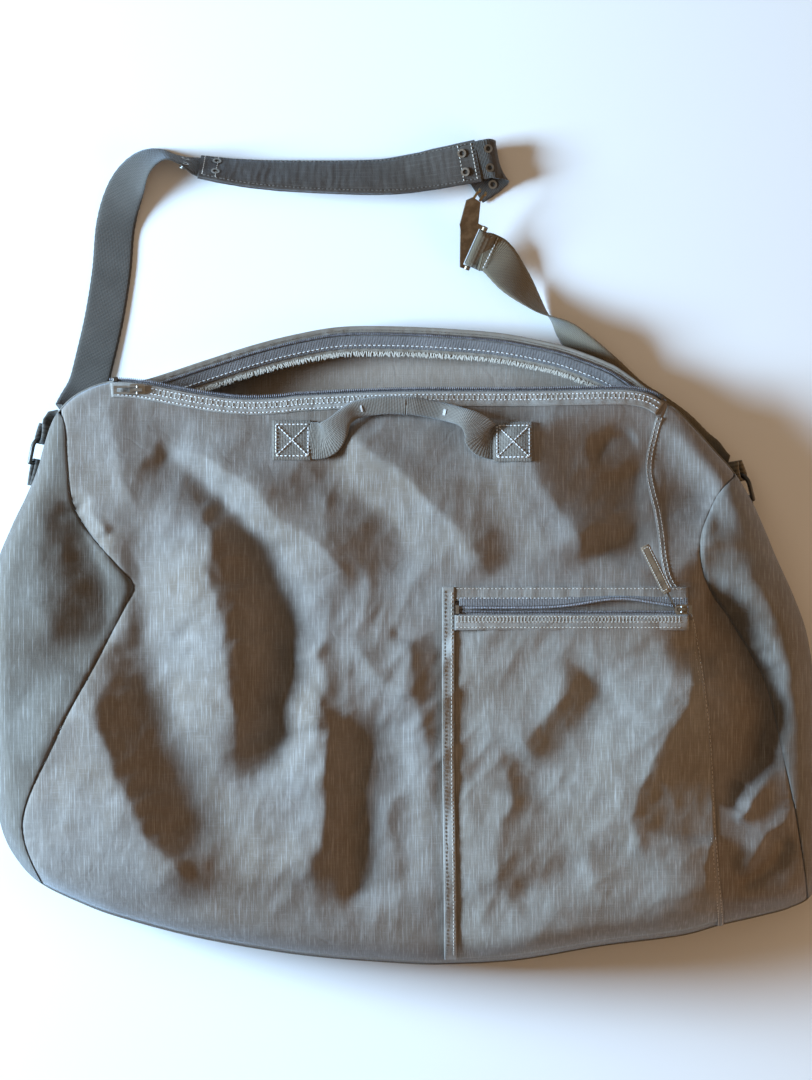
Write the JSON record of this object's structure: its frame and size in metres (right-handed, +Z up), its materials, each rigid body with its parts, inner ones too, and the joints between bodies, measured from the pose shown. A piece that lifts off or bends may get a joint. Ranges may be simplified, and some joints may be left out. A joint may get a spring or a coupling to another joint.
{
  "type": "duffel bag",
  "caption": "Soft canvas duffel bag lying on its back, with an arched zip mouth, webbing carry handles, a zipped front pocket and a padded shoulder strap with a hook buckle.",
  "frame": {"origin": "on the floor, under the middle of the back panel", "axes": "+Z up through the front panel, +Y from the base seam towards the mouth and strap, +X towards the side with the pocket"},
  "size_m": [0.8025, 0.7949, 0.1454],
  "materials": {
    "body_canvas": "faded grey-olive ripstop cotton canvas, matt with a slight sheen",
    "trim_canvas": "the same canvas cut as narrow bands, puckered at the stitching",
    "zip_tape": "ribbed grey zip tape",
    "zip_coil": "dark grey coil, slightly glossy",
    "dark_metal": "worn gunmetal plating",
    "aged_brass": "darkened antique brass",
    "tab_leather": "brown leather with light thread round its edge",
    "webbing": "coarse grey cotton webbing",
    "pad_canvas": "brown-grey canvas, gathered into fine ridges",
    "foam": "closed-cell foam"
  },
  "bodies": {
    "bag": {"front_panel": "body_canvas", "side_strip": "body_canvas", "back_panel": "body_canvas", "base_panel": "body_canvas", "end_panel_left": "body_canvas", "end_panel_right": "body_canvas", "end_yoke_left": "body_canvas", "end_yoke_right": "body_canvas", "front_hem_band": "trim_canvas", "front_zip_tape": "zip_tape", "front_zip_coil": "zip_coil", "main_zip_stops": "dark_metal", "pocket_panel": "body_canvas", "pocket_binding": "trim_canvas", "pocket_facing": "trim_canvas", "pocket_tape_upper": "zip_tape", "pocket_tape_lower": "zip_tape", "pocket_coil_upper": "zip_coil", "pocket_coil_lower": "zip_coil", "pocket_zip_stops": "dark_metal", "front_handle_patches": "webbing", "back_handle_patches": "webbing", "ring_tab_left": "webbing", "ring_tab_right": "webbing", "strap_root_left": "webbing", "strap_root_right": "webbing"},
    "mouth": {"back_hem_band": "trim_canvas", "back_zip_tape": "zip_tape", "back_zip_coil": "zip_coil"},
    "main_slider": {"main_slider": "dark_metal"},
    "main_pull": {"main_pull": "dark_metal"},
    "pocket_slider": {"pocket_slider": "aged_brass"},
    "pocket_pull": {"pocket_pull_link": "dark_metal", "pocket_pull_tab": "tab_leather"},
    "front_handle": {"front_handle_grip": "webbing"},
    "back_handle": {"back_handle_grip": "webbing"},
    "ring_left": {"d_ring_left": "dark_metal"},
    "ring_right": {"d_ring_right": "dark_metal"},
    "strap": {"strap_web_left": "webbing", "strap_web_right": "webbing", "strap_tail": "webbing", "pad_cover_top": "pad_canvas", "pad_foam": "foam", "pad_cover_under": "pad_canvas", "pad_eyelets": "dark_metal", "strap_eyelets": "dark_metal"},
    "buckle": {"buckle_plate": "aged_brass", "buckle_hooks": "aged_brass", "buckle_bar": "aged_brass"}
  },
  "joints": [
    {"name": "main_zip_slide", "type": "slide", "parent": "bag", "child": "main_slider", "axis": [1, 0, 0], "range_m": [0, 0.49]},
    {"name": "main_pull_flip", "type": "hinge", "parent": "main_slider", "child": "main_pull", "pos_m": [-0.2585, 0.276, 0.0741], "axis": [0, 1, 0], "range_deg": [0, 165]},
    {"name": "pocket_zip_slide", "type": "slide", "parent": "bag", "child": "pocket_slider", "axis": [-1, 0, 0], "range_m": [0, 0.205]},
    {"name": "pocket_pull_flip", "type": "hinge", "parent": "pocket_slider", "child": "pocket_pull", "pos_m": [0.264, 0.062, 0.1425], "axis": [0, 1, 0], "range_deg": [0, 120]},
    {"name": "front_handle_swing", "type": "hinge", "parent": "bag", "child": "front_handle", "pos_m": [0, 0.22882, 0.08937], "axis": [1, 0, 0], "range_deg": [0, 130]},
    {"name": "back_handle_swing", "type": "hinge", "parent": "bag", "child": "back_handle", "pos_m": [0, 0.208, 0.0004], "axis": [-1, 0, 0], "range_deg": [0, 140]},
    {"name": "mouth_lift", "type": "hinge", "parent": "bag", "child": "mouth", "pos_m": [0, 0.28, 0.057], "axis": [1, 0, 0], "range_deg": [0, 30]},
    {"name": "strap_lift", "type": "hinge", "parent": "bag", "child": "strap", "pos_m": [-0.309, 0.3, 0.003], "axis": [0.9935, 0.1074, 0.0365], "range_deg": [0, 70]},
    {"name": "ring_left_rock", "type": "hinge", "parent": "bag", "child": "ring_left", "pos_m": [-0.34645, 0.20596, 0.01659], "axis": [-0.7613, 0.1179, 0.6376], "range_deg": [-4, 4]},
    {"name": "ring_right_rock", "type": "hinge", "parent": "bag", "child": "ring_right", "pos_m": [0.31875, 0.17082, 0.01731], "axis": [0.7364, 0.0939, 0.67], "range_deg": [-4, 4]},
    {"name": "buckle_swing", "type": "hinge", "parent": "strap", "child": "buckle", "pos_m": [0.0675, 0.4165, 0.017], "axis": [0.3936, 0.868, 0.3028], "range_deg": [0, 60]}
  ]
}
